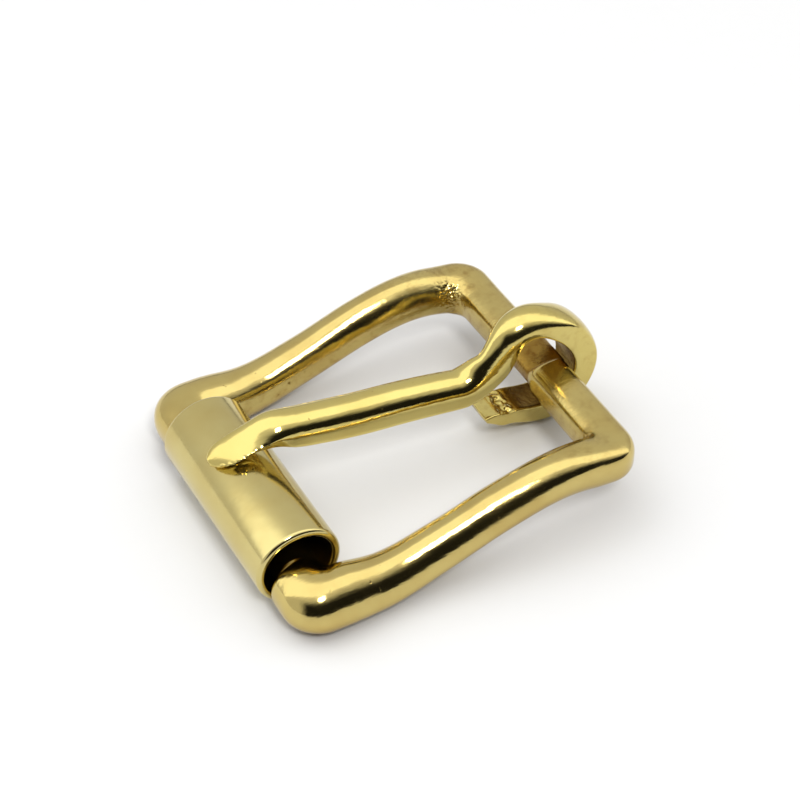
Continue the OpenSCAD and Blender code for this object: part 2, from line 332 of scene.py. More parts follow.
def front_rows(draft_table):
    """The nose, and then the bar inside the roller."""
    rows = []
    outside = side_bar(0)[3]
    for i in range(TURNS + 1):
        done = i/TURNS
        turn = math.pi/2 + math.pi/2*done
        ahead = CORNER/2 + NOSE_AHEAD + front_pivot[0]
        span = corner_span(ahead, outside - front_pivot[1], FRONT_CORNER_R, turn)
        x = front_pivot[0] + (span + FRONT_FILLET)/2*math.cos(turn)
        level_z, thick = side_bar(x)[:2]
        rows.append([front_pivot[0] + FRONT_FILLET*math.cos(turn),
                     front_pivot[1] + FRONT_FILLET*math.sin(turn), turn, span - FRONT_FILLET,
                     thick + (CORNER - thick)*done, level_z, ROUND_POWER, 0.0, 0.0,
                     own(draft_table, x)*(1 - done)])
    for y in np.arange(front_pivot[1] - 0.14, 0, -0.1):
        rows.append([FRONT_BAR_R, y, math.pi, 2*FRONT_BAR_R, 2*FRONT_BAR_R,
                     FRONT_Z + BAR_LIFT, 2.0, 0.4, 0.0, 0.0])
    return rows


print("front corner about", np.round(front_pivot, 2))

# %% [markdown]
# The two halves are the same rows with other numbers: the far seat is longer, the far corner sandier,
# and each bar leans its own way. The near half is turned over and runs backwards, so that the two
# together go once round the frame.

# %% The whole run as one table
def half_run(seat_half, corner_grain, coarse_sand, rise_table, draft_table):
    """All rows of one half of the frame, from the middle of the seat to the middle of the front bar."""
    return np.array(heel_rows(seat_half, own(rise_table, REACH))
                    + heel_corner_rows(rise_table, draft_table, corner_grain, coarse_sand)
                    + side_rows(rise_table, draft_table, corner_grain, coarse_sand)
                    + front_rows(draft_table))


far = half_run(FAR_SEAT, 0.6, 1.0, FAR_RISE, FAR_DRAFT)
near = half_run(NEAR_SEAT, 0.35, 0.15, NEAR_RISE, NEAR_DRAFT)[::-1]
near[:, 1] *= -1
near[:, 2] *= -1
run = np.concatenate([far, near])
print("stations round the frame:", len(run))

# %% [markdown]
# A row becomes a ring of points, the bar's section at that station. Where a wall leans, the section's
# widest place sinks and its upper quarter is rounder.

# %% Section of a bar
SIDES = 56
SINK, LEANING_POWER = 0.32, 1.7
around = np.linspace(0, 2*math.pi, SIDES, endpoint=False)
ring_cos, ring_sin = np.cos(around), np.sin(around)


def bar_section(width, height, power, draft):
    """How far out and how high each point of the section lies, from the inner outline and its level."""
    leaning = ring_cos < 0 if draft > 0 else ring_cos > 0
    power = np.where(leaning & (ring_sin > 0), power - abs(draft)*max(power - LEANING_POWER, 0), power)
    waist = np.where(leaning, -SINK*abs(draft)*height/2, 0)
    across = width/2*(1 + np.sign(ring_cos)*np.abs(ring_cos)**(2/power))
    tall = np.where(ring_sin > 0, height/2 - waist, height/2 + waist)
    return across, waist + tall*np.sign(ring_sin)*np.abs(ring_sin)**(2/power)


print("section of", SIDES, "points, widest", round(bar_section(BAR, BAR, 2.2, 0.0)[0].max(), 2), "mm")

# %% [markdown]
# The corners of the long table would leave creases in a polished bar, and brass shows the smallest one.
# So the run is averaged with its neighbours before the skin is laid over it. Outward directions are
# averaged as vectors, because an angle jumps from 180 to -180 degrees on the front bar. Three marks go
# with the skin: cast for the grain on inner walls, sand for the coarse patches, and low for the
# undersides, which get a painted shade there, darker and browner, as a reflection of the shaded card would
# be.

# %% Skin of the frame
def frame_rings(run):
    shape = np.column_stack([run[:, 0], run[:, 1], np.cos(run[:, 2]), np.sin(run[:, 2]), run[:, 3:]])
    inner_wall = np.clip(-ring_cos, 0, 1)**2*np.clip(1.1 - 1.6*ring_sin, 0, 1)
    rings, cast, sand = [], [], []
    for x, y, ox, oy, width, height, z, power, rough, gritty, draft in soften(shape, 3):
        size = math.hypot(ox, oy)
        across, lift = bar_section(width, height, power, draft)
        rings.append(np.column_stack([x + across*ox/size - MIDDLE, y + across*oy/size, z + lift]))
        outer_wall = np.clip(ring_cos, 0, 1)**2 if rough < 0.9 else 0
        cast.append(np.maximum(rough*(1 - 0.85*outer_wall), 0.75*inner_wall))
        sand.append(gritty*np.clip(-1.8*ring_cos - 0.3, 0, 1))
    # low: where a painted shade darkens and browns the undersides of the bars
    low = np.clip((0.15 - ring_sin)/0.95, 0, 1)**1.2
    return np.array(rings)*MM, {"cast": cast, "sand": sand, "low": [low]*len(rings)}


rings, marks = frame_rings(run)
frame_skin = skin("frame_skin", rings, closed=True, marks=marks)

# %% [markdown]
# ## The roller
# The roller is a short length of thin brass tube whose ends were turned or tumbled round. A tube follows
# a rule, so Geometry Nodes makes it: a rounded rectangle, as wide as the wall and as long as the tube,
# is swept round a circle. Its sizes are the tree's inputs, and each is set by its socket's identifier.

# %% A tree that sweeps a wall round a circle
ROUND_STEPS, RIM_STEPS = 160, 6


def sockets(tree, in_out):
    """Names of a tree's inputs or outputs."""
    return [item.name for item in tree.interface.items_tree if item.in_out == in_out]


def roller_tree():
    tree = bpy.data.node_groups.new("roller_tube", "GeometryNodeTree")
    face = tree.interface
    face.new_socket("Geometry", in_out="OUTPUT", socket_type="NodeSocketGeometry")
    for name, value in (("Middle Radius", 0.003), ("Wall", 0.0005), ("Length", 0.017), ("Rim Round", 0.0002)):
        socket = face.new_socket(name, in_out="INPUT", socket_type="NodeSocketFloat")
        socket.default_value = value
    face.new_socket("Metal", in_out="INPUT", socket_type="NodeSocketMaterial")
    given, circle, wall, fillet, sweep, smooth, real, paint, out = (tree.nodes.new(kind) for kind in (
        "NodeGroupInput", "GeometryNodeCurvePrimitiveCircle", "GeometryNodeCurvePrimitiveQuadrilateral",
        "GeometryNodeFilletCurve", "GeometryNodeCurveToMesh", "GeometryNodeSetShadeSmooth",
        "GeometryNodeRealizeInstances", "GeometryNodeSetMaterial", "NodeGroupOutput"))
    circle.inputs["Resolution"].default_value = ROUND_STEPS
    fillet.mode = "POLY"
    fillet.inputs["Count"].default_value = RIM_STEPS
    for source, gives, target, takes in (
            (given, "Middle Radius", circle, "Radius"), (given, "Wall", wall, "Width"),
            (given, "Length", wall, "Height"), (wall, "Curve", fillet, "Curve"),
            (given, "Rim Round", fillet, "Radius"), (circle, "Curve", sweep, "Curve"),
            (fillet, "Curve", sweep, "Profile Curve"), (sweep, "Mesh", smooth, "Geometry"),
            (smooth, "Geometry", real, "Geometry"), (real, "Geometry", paint, "Geometry"),
            (given, "Metal", paint, "Material"), (paint, "Geometry", out, "Geometry")):
        tree.links.new(source.outputs[gives], target.inputs[takes])
    return tree


tube = roller_tree()
print(tube.name, "takes", sockets(tube, "INPUT"))

# %% [markdown]
# The tube is kept as a plain mesh. An empty mesh carries the tree as a modifier, the result is copied
# out, and the modifier is removed.

# %% Roller
def grown(tree, name, values):
    """Runs a tree with named inputs and keeps the result as a plain mesh object."""
    seed = bpy.data.objects.new(name + "_seed", bpy.data.meshes.new(name + "_seed"))
    bpy.context.scene.collection.objects.link(seed)
    maker = seed.modifiers.new("maker", "NODES")
    maker.node_group = tree
    by_name = {s.name: s.identifier for s in tree.interface.items_tree
               if getattr(s, "in_out", "") == "INPUT"}
    for key, value in values.items():
        maker[by_name[key]] = value
    bpy.context.view_layer.update()
    mesh = bpy.data.meshes.new_from_object(seed.evaluated_get(bpy.context.evaluated_depsgraph_get()))
    seed.modifiers.remove(maker)
    bpy.data.objects.remove(seed)
    mesh.name = name
    piece = bpy.data.objects.new(name, mesh)
    bpy.context.scene.collection.objects.link(piece)
    return piece


roller_brass = bpy.data.materials.new("roller_brass_polished")
roller_skin = grown(tube, "roller_skin", {
    "Middle Radius": (ROLLER_R - ROLLER_WALL/2)*MM, "Wall": ROLLER_WALL*MM, "Length": ROLLER_LEN*MM,
    "Rim Round": RIM_ROUND*MM, "Metal": roller_brass})
place = Matrix.Translation(Vector((-MIDDLE, ROLLER_SLIDE, ROLLER_Z))*MM) @ Matrix.Rotation(math.pi/2, 4, "X")
roller_skin.data.transform(place)
if signed_volume(roller_skin.data) < 0:
    roller_skin.data.flip_normals()
print("roller", len(roller_skin.data.polygons), "faces,",
      round(signed_volume(roller_skin.data)*1e9, 1), "cubic mm")

# %% [markdown]
# ## The tongue
# The tongue is a strip of brass with a flat side and a rounded side. It is bent over at the tip, and its
# other end is rolled round the heel bar and sheared off. A strip along a bent line is a lofted shape:
# the line gives each station, and the section turns with it. The line is that of the CAD solid, and only
# the far edge of the loop differs from it a little.

# %% Stations along the tongue
LOOP = [  # x, z as shares of the loop's radius, near edge, far edge
    [-1.67, -0.09, 0.96, 0.96],
    [-1.43, -0.06, 0.96, 0.93],
    [-1.24,  0.05, 0.98, 0.90],
    [-1.08,  0.14, 0.98, 0.78],
    [-0.94,  0.24, 1.00, 0.60],
    [-0.78,  0.40, 1.00, 0.52],
    [-0.63,  0.62, 1.00, 0.58],
    [-0.53,  0.86, 1.00, 0.72],
    [-0.42,  1.08, 1.00, 0.88],
    [-0.21,  1.17, 1.00, 0.97],
    [ 0.02,  1.14, 1.00, 1.02],
    [ 0.28,  1.03, 1.00, 1.10],
    [ 0.54,  0.83, 1.00, 1.28],
    [ 0.78,  0.55, 1.00, 1.40],
    [ 0.95,  0.23, 1.00, 1.34],
    [ 1.02, -0.08, 1.00, 1.15],
    [ 0.98, -0.36, 1.00, 1.00],
    [ 0.84, -0.64, 1.00, 1.00],
    [ 0.58, -0.87, 1.00, 1.00],
    [ 0.28, -0.95, 1.00, 1.00],
    [-0.02, -0.90, 1.00, 1.00],
    [-0.36, -0.80, 1.00, 1.00],
    [-0.70, -0.68, 1.00, 1.00],
    [-1.04, -0.62, 1.00, 1.00],
    [-1.33, -0.66, 1.00, 0.95]]
SHAFT = [  # share from tip to neck, sag, near edge, far edge
    [0.00, 0.08, 0.92, 0.94],
    [0.08, 0.20, 0.97, 0.97],
    [0.20, 0.21, 1.00, 0.99],
    [0.40, 0.20, 1.00, 1.00],
    [0.65, 0.05, 0.99, 1.00],
    [0.88, 0.00, 0.97, 0.98],
    [1.00, 0.00, 0.96, 0.96]]
TIP = [  # share from the tip's end, near edge, far edge
    [0.00, -0.25, 0.45],
    [0.07,  0.20, 0.80],
    [0.18,  0.62, 0.88],
    [0.32,  0.86, 0.90],
    [0.60,  0.86, 0.90],
    [0.85,  0.88, 0.91],
    [1.00,  0.92, 0.94]]
print("tables:", len(TIP), "rows of tip,", len(SHAFT), "of shaft,", len(LOOP), "of loop")

# %% [markdown]
# The tip lies flat on the roller, so its line touches the tube's circle with a hair of space. The shaft
# runs from there to the neck with a little sag, and the loop's rows are shares of its radius.

# %% The strip's line
TIP_REACH, TIP_LEN, TIP_SLOPE, TIP_GAP = 2.6, 3.8, math.radians(12.4), 0.05
STRIP_STEPS, STRIP_SOFT = 600, 9
along = np.array([math.cos(TIP_SLOPE), math.sin(TIP_SLOPE)])
touch = np.array([0, ROLLER_Z]) + (ROLLER_R + TIP_GAP)*np.array([-along[1], along[0]])
tip_end = touch - (TIP_REACH + touch[0])/along[0]*along
tip_back = touch + TIP_LEN*along
neck = np.array([LOOP_X, LOOP_Z]) + LOOP_R*np.array(LOOP[0][:2])


def tongue_stations():
    """Rows of: x, z of the flat side, near edge, far edge."""
    v = np.linspace(0, 1, 15)[:-1]
    rows = [np.column_stack([tip_end + v[:, None]*(tip_back - tip_end), through(TIP, v)])]
    v = np.linspace(0, 1, 20)[:-1]
    shaft = through(SHAFT, v)
    line = tip_back + v[:, None]*(neck - tip_back)
    line[:, 1] -= shaft[:, 0]*TONGUE_T
    rows.append(np.column_stack([line, shaft[:, 1:]]))
    loop = np.array(LOOP)
    rows.append(np.column_stack([LOOP_X + loop[:, 0]*LOOP_R, LOOP_Z + loop[:, 1]*LOOP_R, loop[:, 2:]]))
    return np.concatenate(rows)


stations = tongue_stations()
run_mm = np.concatenate([[0], np.cumsum(np.linalg.norm(np.diff(stations[:, :2], axis=0), axis=1))])
fine = np.linspace(0, run_mm[-1], STRIP_STEPS)
strip = soften(through(np.column_stack([run_mm, stations]), fine), STRIP_SOFT, closed=False)
shares = np.linspace(0, 1, STRIP_STEPS)
print("tongue: strip of", round(run_mm[-1], 1), "mm")

# %% [markdown]
# The section changes along the strip. On the shaft the back is almost a half circle over a straight near
# face. At the tip the die left a top that slopes to a sharp near edge, and the metal under that edge is
# cut away. Round the loop the strip is flatter again. A second table holds this, and the places in it are
# shares of the strip's length.

# %% The section's table
SECTION = [  # share, near height, far height, round back, lowering of the flat side, end share, undercut
    [0.000, 0.20, 0.30, 0.20, 0.00, 0.33, 0.10],
    [0.020, 0.60, 0.85, 0.55, 0.00, 0.33, 0.35],
    [0.050, 0.75, 1.05, 0.75, 0.00, 0.33, 0.60],
    [0.080, 0.80, 1.15, 0.85, 0.00, 0.30, 0.55],
    [0.105, 0.85, 1.25, 1.05, 0.02, 0.12, 0.20],
    [0.140, 1.00, 1.25, 1.32, 0.10, 0.00, 0.00],
    [0.200, 1.05, 1.30, 1.45, 0.20, 0.00, 0.00],
    [0.400, 1.05, 1.30, 1.45, 0.20, 0.00, 0.00],
    [0.440, 1.00, 1.22, 1.45, 0.16, 0.00, 0.00],
    [0.465, 0.97, 1.18, 1.48, 0.12, 0.00, 0.00],
    [0.485, 0.85, 1.20, 1.58, 0.05, 0.00, 0.00],
    [0.505, 0.70, 1.25, 1.72, 0.00, 0.00, 0.00],
    [0.525, 0.52, 1.15, 1.86, 0.00, 0.00, 0.00],
    [0.545, 0.40, 0.92, 1.95, 0.00, 0.00, 0.00],
    [0.570, 0.40, 0.80, 1.80, 0.00, 0.00, 0.00],
    [0.600, 0.35, 0.75, 1.45, 0.05, 0.00, 0.00],
    [0.640, 0.50, 0.80, 1.20, 0.12, 0.00, 0.00],
    [0.665, 1.00, 1.05, 1.00, 0.30, 0.00, 0.00],
    [0.690, 1.50, 1.35, 0.80, 0.32, 0.00, 0.00],
    [0.750, 1.90, 1.70, 0.55, 0.33, 0.00, 0.00],
    [0.820, 1.85, 1.65, 0.60, 0.35, 0.00, 0.00],
    [0.900, 1.40, 1.30, 0.70, 0.10, 0.00, 0.00],
    [0.935, 1.20, 1.15, 0.60, 0.00, 0.00, 0.00],
    [0.955, 1.10, 1.10, 0.60, -0.28, 0.00, 0.00],
    [0.975, 1.05, 1.00, 0.50, -0.10, 0.00, 0.00],
    [1.000, 0.35, 0.30, 0.20, 0.00, 0.00, 0.00]]
section = soften(through(SECTION, shares), 11, closed=False)
print("section:", len(SECTION), "rows, softened to", section.shape[0])

# %% [markdown]
# A function turns one row of that table into a ring of points. It goes round the strip: along the flat
# side, up the far side, over the back, which is part of a superellipse, and down the near side.

# %% Section of the strip
BACK_POWER = 2.05
FLAT_POINTS, BACK_POINTS = 17, 37
EDGE_SOFT = 0.16


def tongue_section(near_y, far_y, near_high, far_high, dome, end_share, undercut):
    """Points round the strip: flat side, far side, round back, near side."""
    soft = min(EDGE_SOFT, near_high/2.2, far_high/2.2)
    low_y = near_y + undercut
    points = [(low_y + soft + t*(far_y - low_y - 2*soft), 0.0) for t in np.linspace(0, 1, FLAT_POINTS)]
    for t in np.radians([-60, -30, 0]):
        points.append((far_y - soft + soft*math.cos(t), soft + soft*math.sin(t)))
    points += [(far_y, soft + t*(far_high - soft)) for t in (0.33, 0.67)]
    half = (far_y - near_y)/2
    last = math.pi*(1 - end_share)
    end_a, end_b = math.cos(last), math.sin(last)
    for t in np.linspace(0, last, BACK_POINTS):
        c, rise = math.cos(t), max(math.sin(t), 0.0)
        a = np.sign(c)*abs(c)**(2/BACK_POWER)
        across = (1 - a)/(1 - np.sign(end_a)*abs(end_a)**(2/BACK_POWER))
        b = rise**(2/BACK_POWER) - across*max(end_b, 0.0)**(2/BACK_POWER)
        points.append((far_y - 2*half*across, far_high + (near_high - far_high)*across + dome*b))
    points += [(near_y + undercut*(1 - t), soft + t*(near_high - soft)) for t in (0.75, 0.5, 0.25)]
    for t in np.radians([180, 210, 240]):
        points.append((low_y + soft + soft*math.cos(t), soft + soft*math.sin(t)))
    return np.array(points)


print("ring of", len(tongue_section(-1.5, 1.5, 1.0, 1.2, 1.4, 0.0, 0.0)), "points")

# %% [markdown]
# Cheap tongues keep the marks of how they were made. The die squeezes a small burr along the tip's near
# edge, and shears tear the end of the strip into bright facets. Both are uneven heights added to a few
# points of the section, from one seeded row of dice, so that they come out the same at each run.

# %% Torn and pressed metal
EDGE = FLAT_POINTS + 3 + 2 + BACK_POINTS - 1
BURR_MM, TORN_MM = 0.11, 0.32
TORN_FROM, TORN_TO = 0.938, 0.972
dice = np.random.default_rng(4)


def facets(rows, columns, reach):
    """Uneven heights from -1 to 1 for torn metal."""
    rough = dice.normal(size=(rows, columns))
    rough = soften(soften(rough, reach, closed=False).T, 1, closed=False).T
    return rough/np.abs(rough).max()


def wear_in(ring, i):
    """Adds the burr and the torn end to one ring of the tongue."""
    share, end_share = shares[i], section[i, 4]
    burr = BURR_MM*part(end_share, 0, 0.33)
    for point, much in zip(range(EDGE - 2, EDGE + 2), (0.3, 0.8, 1.0, 0.5)):
        ring[point] += burr*much*pressed[i]
    torn = part(share, TORN_FROM, TORN_FROM + 0.008)*part(share, TORN_TO, TORN_TO - 0.006)
    ring[:FLAT_POINTS, 1] += TORN_MM*torn*sheared[i]


sheared = facets(STRIP_STEPS, FLAT_POINTS, 3)
pressed = facets(STRIP_STEPS, 2, 2)
print("facets from", round(float(sheared.min()), 2), "to", round(float(sheared.max()), 2))

# %% [markdown]
# Thick brass can't turn a sharp corner. Each ring stands square to the strip, and where the shaft bends
# up into the loop, rings that turn too fast would cross each other. So the directions are softened, and
# at the elbow once more, and the finished rings there are averaged with their neighbours.

# %% A gentle elbow
ELBOW, ELBOW_MIDDLE = 0.50, 0.492


def strip_directions():
    """The way that the strip runs at each of its places."""
    lines = np.gradient(strip[:, :2], axis=0)
    lines /= np.linalg.norm(lines, axis=1)[:, None]
    lines = soften(lines, 24, closed=False)
    elbow = np.clip(1.6 - np.abs(shares - ELBOW)/0.06, 0, 1)[:, None]
    lines += elbow*(soften(lines, 38, closed=False) - lines)
    return lines/np.linalg.norm(lines, axis=1)[:, None]


def rounded_elbow(rings):
    """Rings averaged with their neighbours at the elbow, and left alone elsewhere."""
    gentle = soften(rings.reshape(len(rings), -1), 34, closed=False).reshape(rings.shape)
    bend = np.clip(1.25 - np.abs(shares - ELBOW_MIDDLE)/0.05, 0, 1)
    bend = (bend*bend*(3 - 2*bend))[:, None, None]
    return rings + bend*(gentle - rings)


lines = strip_directions()
steepest = lines[shares < 0.55, 1].max()
print("at the elbow the strip turns up to", round(math.degrees(math.asin(steepest))), "degrees")

# %% [markdown]
# Now the rings can be laid along the strip. The tip leans a little to the far side and the loop to the
# near side. The inside of the loop never met a polishing wheel, so it is marked as cast, which also
# browns it and darkens it with a painted shade.

# %% Skin of the tongue
TIP_LEAN, LOOP_SIDE = 0.8, 0.35
WORN = [[0.0, 0.0], [0.45, 0.0], [0.52, 0.05], [0.60, 0.10], [0.68, 0.30], [0.75, 0.35], [0.90, 0.30],
        [0.95, 0.5], [1.0, 0.3]]
BORE_MARK = 0.97


def tongue_rings():
    rings, cast = [], []
    for i, (x, z, near_share, far_share) in enumerate(strip):
        near_high, far_high, dome, drop, end_share, undercut = section[i]
        lean = TIP_LEAN + (-LOOP_SIDE - TIP_LEAN)*part(x, 0, neck[0])
        near_y, far_y = lean - near_share*TONGUE_W/2, lean + far_share*TONGUE_W/2
        ring = tongue_section(near_y, far_y, near_high, far_high, dome, max(end_share, 0), max(undercut, 0))
        ring[:, 1] -= drop
        wear_in(ring, i)
        out = np.array([-lines[i, 1], lines[i, 0]])
        rings.append(np.column_stack([x + out[0]*ring[:, 1] - MIDDLE, ring[:, 0], z + out[1]*ring[:, 1]]))
        row = np.full(len(ring), through(WORN, [shares[i]])[0, 0])
        # The bore's mark also brings the brown bare tint and painted shade of the material.
        bore = BORE_MARK*part(shares[i], 0.60, 0.63)*part(shares[i], 0.94, 0.92)
        row[:FLAT_POINTS] = np.maximum(row[:FLAT_POINTS], bore)
        cast.append(row)
    return rounded_elbow(np.array(rings))*MM, {"cast": cast}


rings, marks = tongue_rings()
tongue_skin = skin("tongue_skin", rings, closed=False, marks=marks)

# %% [markdown]
# ## Brass
# Polished brass is a metal, so its colour sits in the reflection. Small casting pits, hairline scratches
# from tumbling and an uneven tarnish keep it from looking like a mirror ball. Where the mould's skin is
# left, the brass is sandy, stained and browner; inside the loop it is also darker with a painted shade,
# and the low sides are darkened and browned with a painted shade. All three pieces share those
# effects, so each is a node group that puts out masks and heights. A few small helpers build them.

# %% Helpers for node groups
FLOAT = "NodeSocketFloat"


def effect_group(name, inputs, outputs):
    """Starts a group: gives back its tree, its numbers, its results and the place on the piece."""
    tree = bpy.data.node_groups.new(name, "ShaderNodeTree")
    for label, value in inputs.items():
        tree.interface.new_socket(label, in_out="INPUT", socket_type=FLOAT).default_value = value
    for label in outputs:
        tree.interface.new_socket(label, in_out="OUTPUT", socket_type=FLOAT)
    given, out = tree.nodes.new("NodeGroupInput").outputs, tree.nodes.new("NodeGroupOutput").inputs
    return tree, given, out, shader_node(tree, "ShaderNodeTexCoord").outputs["Object"]


def shader_node(tree, kind, inputs=None, **settings):
    """Adds a node. An input that is another node's socket is linked, any other is a plain value."""
    node = tree.nodes.new(kind)
    for key, value in settings.items():
        setattr(node, key, value)
    for key, value in (inputs or {}).items():
        if isinstance(value, bpy.types.NodeSocket):
            tree.links.new(value, node.inputs[key])
        else:
            node.inputs[key].default_value = value
    return node


def noise(tree, where, scale, detail, roughness=0.5):
    return shader_node(tree, "ShaderNodeTexNoise", {"Vector": where, "Scale": scale, "Detail": detail,
                                                    "Roughness": roughness}).outputs["Fac"]


def spread(tree, value, low, high, to_low=0.0, to_high=1.0, **settings):
    """Maps values between low and high to values between to_low and to_high, and holds them there."""
    return shader_node(tree, "ShaderNodeMapRange", {"Value": value, "From Min": low, "From Max": high,
                                                    "To Min": to_low, "To Max": to_high},
                       **settings).outputs["Result"]


def sums(tree, operation, *values, **settings):
    inputs = dict(enumerate(values))
    return shader_node(tree, "ShaderNodeMath", inputs, operation=operation, **settings).outputs[0]


def mark(tree, name):
    """Reads a mark that was left on the skin."""
    return shader_node(tree, "ShaderNodeAttribute", attribute_name=name).outputs["Fac"]


print("effects pass on numbers:", FLOAT)

# %% [markdown]
# Gas bubbles leave little pits when brass is cast. They come in loose groups and not evenly, so one
# coarse noise decides how low the fine noise may start to count as a pit.

# %% Casting pits
def casting_pits():
    """Uneven little pits in loose groups: a height and a mask."""
    tree, given, out, where = effect_group("casting_pits", {"Scale": 1500.0, "Amount": 0.5},
                                           ("Height", "Mask"))
    spots = noise(tree, where, given["Scale"], 3.0, 0.6)
    groups = noise(tree, where, 240.0, 2.0)
    wanted = sums(tree, "MULTIPLY", spread(tree, groups, 0.35, 0.75, 0.0, 0.16), given["Amount"])
    start = sums(tree, "SUBTRACT", 0.76, wanted)
    full = sums(tree, "ADD", start, 0.06)
    pit = spread(tree, spots, start, full, interpolation_type="SMOOTHSTEP")
    tree.links.new(sums(tree, "MULTIPLY", pit, -1.0), out["Height"])
    tree.links.new(pit, out["Mask"])
    return tree


PITS = casting_pits()
print(PITS.name, "puts out", sockets(PITS, "OUTPUT"))

# %% [markdown]
# A mould of sand prints its grains on the metal, and the print stays where no polishing wheel reached.
# Fine grain is noise times the mark called cast. The coarse patch near the heel is made of round beads,
# which a smooth Voronoi pattern gives. Stains gather in such places. The seat and the loop's bore are
# bare and brown, and darker with a painted shade, as they lie inside the loop.

# %% Cast grain and painted shade in the loop
BEAD_SCALE, BEAD_DEPTH = 2700.0, 4.6


def cast_grain_and_loop_shade():
    """The sandy skin of a mould: a height, a mask, stained spots, and bare metal with a painted shade."""
    tree, given, out, where = effect_group("cast_grain_and_loop_shade", {"Scale": 4200.0},
                                           ("Height", "Mask", "Spots", "Bare And Shade"))
    left = mark(tree, "cast")
    fine = sums(tree, "MULTIPLY", noise(tree, where, given["Scale"], 3.0, 0.65), left)
    beads = shader_node(tree, "ShaderNodeTexVoronoi", {"Vector": where, "Scale": BEAD_SCALE,
                                                       "Smoothness": 0.35}, feature="SMOOTH_F1")
    dents = sums(tree, "MULTIPLY", beads.outputs["Distance"], mark(tree, "sand"))
    dark = spread(tree, noise(tree, where, 900.0, 4.0, 0.65), 0.48, 0.68)
    tree.links.new(sums(tree, "MULTIPLY_ADD", dents, -BEAD_DEPTH, fine), out["Height"])
    tree.links.new(left, out["Mask"])
    tree.links.new(sums(tree, "MULTIPLY", dark, left), out["Spots"])
    # Bare And Shade browns the seat and the bore as bare metal and darkens them as painted shade.
    tree.links.new(spread(tree, left, 0.85, 0.98), out["Bare And Shade"])
    return tree


GRAIN_AND_LOOP_SHADE = cast_grain_and_loop_shade()
print(GRAIN_AND_LOOP_SHADE.name, "puts out", sockets(GRAIN_AND_LOOP_SHADE, "OUTPUT"))

# %% [markdown]
# Tumbling rolls the pieces about with small stones. It leaves long gentle waves, which bend the edges of
# every reflection, and hairlines that mostly run one way, so their noise is stretched along the buckle.

# %% Tumbled waves and hairlines
def tumbled_waves():
    """Waviness and hairlines, as two heights."""
    tree, given, out, where = effect_group("tumbled_waves", {"Wave Scale": 650.0, "Line Scale": 5000.0},
                                           ("Wave", "Lines"))
    stretch = shader_node(tree, "ShaderNodeMapping", {"Vector": where, "Scale": (0.12, 1.0, 1.0)})
    tree.links.new(noise(tree, where, given["Wave Scale"], 2.0, 0.4), out["Wave"])
    tree.links.new(noise(tree, stretch.outputs["Vector"], given["Line Scale"], 4.0), out["Lines"])
    return tree


WAVES = tumbled_waves()
print(WAVES.name, "puts out", sockets(WAVES, "OUTPUT"))

# %% [markdown]
# Brass tarnishes in soft patches that are warmer and duller than clean metal. The undersides are
# darkened with a painted shade, browner and uneven, and the mark called low says where they are.

# %% Tarnish and painted shade of the undersides
def tarnish_and_low_shade():
    """A soft mask for warmer, duller patches, and one for the painted shade on the low sides."""
    tree, given, out, where = effect_group("tarnish_and_low_shade", {"Scale": 180.0}, ("Mask", "Low Shade"))
    patch = noise(tree, where, given["Scale"], 5.0, 0.55)
    uneven = spread(tree, patch, 0.3, 0.7, 0.75, 1.1)
    tree.links.new(spread(tree, patch, 0.42, 0.68), out["Mask"])
    # Low Shade is a painted shade on the undersides, uneven like the tarnish.
    tree.links.new(sums(tree, "MULTIPLY", mark(tree, "low"), uneven, use_clamp=True), out["Low Shade"])
    return tree


TARNISH_AND_LOW_SHADE = tarnish_and_low_shade()
print(TARNISH_AND_LOW_SHADE.name, "puts out", sockets(TARNISH_AND_LOW_SHADE, "OUTPUT"))

# %% [markdown]
# The three pieces are near relations and not the same metal. The frame is a warmer casting, the roller
# is paler drawn tube with a satin look, and the tongue is the yellowest and the best polished. One
# helper builds all three. It tints the brass step by step, each time where one of the masks says so, and
# stacks four bumps from the longest waves to the finest grain.

# %% One helper for three brasses
# Two tints are painted shade: the low tint darkens and browns the undersides, and the bare tint browns the
# seat and the loop's bore as bare metal and darkens them as shade inside the loop. The stain and pit tints
# are the metal's own.
LOW_SHADE_TINT, STAIN_TINT = (0.62, 0.52, 0.38), (0.60, 0.48, 0.36)
BARE_AND_SHADE_TINT, PIT_TINT = (0.56, 0.44, 0.24), (0.35, 0.28, 0.2)
GRAIN_DULLS = 0.14


def tint(tree, colour, by, mask):
    """Multiplies a colour by another, where a mask says so."""
    return shader_node(tree, "ShaderNodeMix", {"Factor": mask, "A": colour, "B": (*by, 1)},
                       data_type="RGBA", blend_type="MULTIPLY").outputs["Result"]


